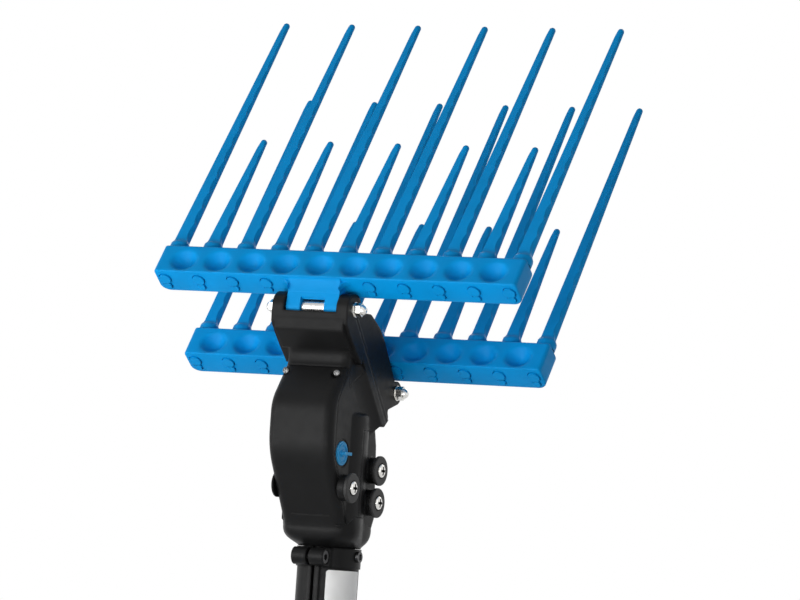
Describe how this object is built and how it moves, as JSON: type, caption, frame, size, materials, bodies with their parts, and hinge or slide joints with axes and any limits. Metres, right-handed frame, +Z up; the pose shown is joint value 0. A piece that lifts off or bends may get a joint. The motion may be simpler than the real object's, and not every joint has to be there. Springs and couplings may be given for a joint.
{
  "type": "electric olive harvester head",
  "caption": "Olive harvester head: two toothed combs swing against each other on pivots at the top of a motor housing that clamps on a pole.",
  "frame": {"origin": "centre of the coupling sleeve's lower mouth, on the pole axis", "axes": "+X along the combs, +Y away from the user, +Z up the pole"},
  "size_m": [0.2759, 0.2271, 0.4466],
  "materials": {
    "blue_plastic": "moulded, satin",
    "black_plastic": "moulded, fine grain",
    "rubber": "matt",
    "zinc": "zinc plated",
    "steel": "ground",
    "dark_steel": "blackened",
    "bronze": "plain",
    "cast_aluminium": "cast",
    "lamination": "stacked sheet",
    "copper": "enamelled wire",
    "magnet": "nickel plated",
    "board": "coated board",
    "can_metal": "sleeved"
  },
  "bodies": {
    "upper_comb": {"upper_bar": "blue_plastic", "upper_long_tine_1": "blue_plastic", "upper_long_tine_2": "blue_plastic", "upper_long_tine_3": "blue_plastic", "upper_long_tine_4": "blue_plastic", "upper_long_tine_5": "blue_plastic", "upper_long_tine_6": "blue_plastic", "upper_short_tine_1": "blue_plastic", "upper_short_tine_2": "blue_plastic", "upper_short_tine_3": "blue_plastic", "upper_short_tine_4": "blue_plastic", "upper_short_tine_5": "blue_plastic", "upper_pivot_bushes": "bronze", "upper_drive_pin": "steel", "upper_lever": "steel"},
    "lower_comb": {"lower_bar": "blue_plastic", "lower_long_tine_1": "blue_plastic", "lower_long_tine_2": "blue_plastic", "lower_long_tine_3": "blue_plastic", "lower_long_tine_4": "blue_plastic", "lower_long_tine_5": "blue_plastic", "lower_long_tine_6": "blue_plastic", "lower_short_tine_1": "blue_plastic", "lower_short_tine_2": "blue_plastic", "lower_short_tine_3": "blue_plastic", "lower_short_tine_4": "blue_plastic", "lower_short_tine_5": "blue_plastic", "lower_pivot_bushes": "bronze", "lower_drive_pin": "steel", "lower_lever": "steel"},
    "eccentric": {"eccentric_shaft": "steel", "rotor_core": "lamination", "rotor_magnets": "magnet", "eccentric_bearings": "steel"},
    "plug": {"grease_plug": "blue_plastic"},
    "housing": {"bearing_carrier": "cast_aluminium", "board_capacitors": "can_metal", "bumper_discs": "rubber", "bumper_screws": "zinc", "cap_gasket": "rubber", "controller_board": "board", "front_cover": "black_plastic", "head_cap": "black_plastic", "housing_screws": "zinc", "lower_pivot_pin": "steel", "main_housing": "black_plastic", "motor_can": "steel", "motor_end_bell": "cast_aluminium", "motor_stator": "lamination", "pivot_nuts": "zinc", "pivot_washers": "zinc", "plug_seal": "rubber", "pole_sleeve": "black_plastic", "rear_cover": "black_plastic", "shaft_bearings": "steel", "sleeve_clamp_nuts": "dark_steel", "sleeve_clamp_screws": "dark_steel", "sleeve_lock_screw": "dark_steel", "stator_coils": "copper", "upper_pivot_pin": "steel"}
  },
  "joints": [
    {"name": "upper_comb_swing", "type": "hinge", "parent": "housing", "child": "upper_comb", "pos_m": [0, -0.0415, 0.2448], "axis": [1, 0, 0], "range_deg": [-5.7, 7.3]},
    {"name": "lower_comb_swing", "type": "hinge", "parent": "housing", "child": "lower_comb", "pos_m": [0, 0.0311, 0.1951], "axis": [1, 0, 0], "range_deg": [-7.3, 5.7]},
    {"name": "eccentric_turn", "type": "hinge", "parent": "housing", "child": "eccentric", "pos_m": [0, -0.014, 0.12], "axis": [0, 0, 1], "range_deg": [-79.5, 101.6]},
    {"name": "grease_plug_turn", "type": "hinge", "parent": "housing", "child": "plug", "pos_m": [0.02, -0.0365, 0.152], "axis": [1, 0, 0], "range_deg": [0, 90]}
  ],
  "couplings": [
    {"joint": "lower_comb_swing", "follows": "upper_comb_swing", "ratio": -1},
    {"joint": "eccentric_turn", "follows": "upper_comb_swing", "ratio": 13.846}
  ]
}
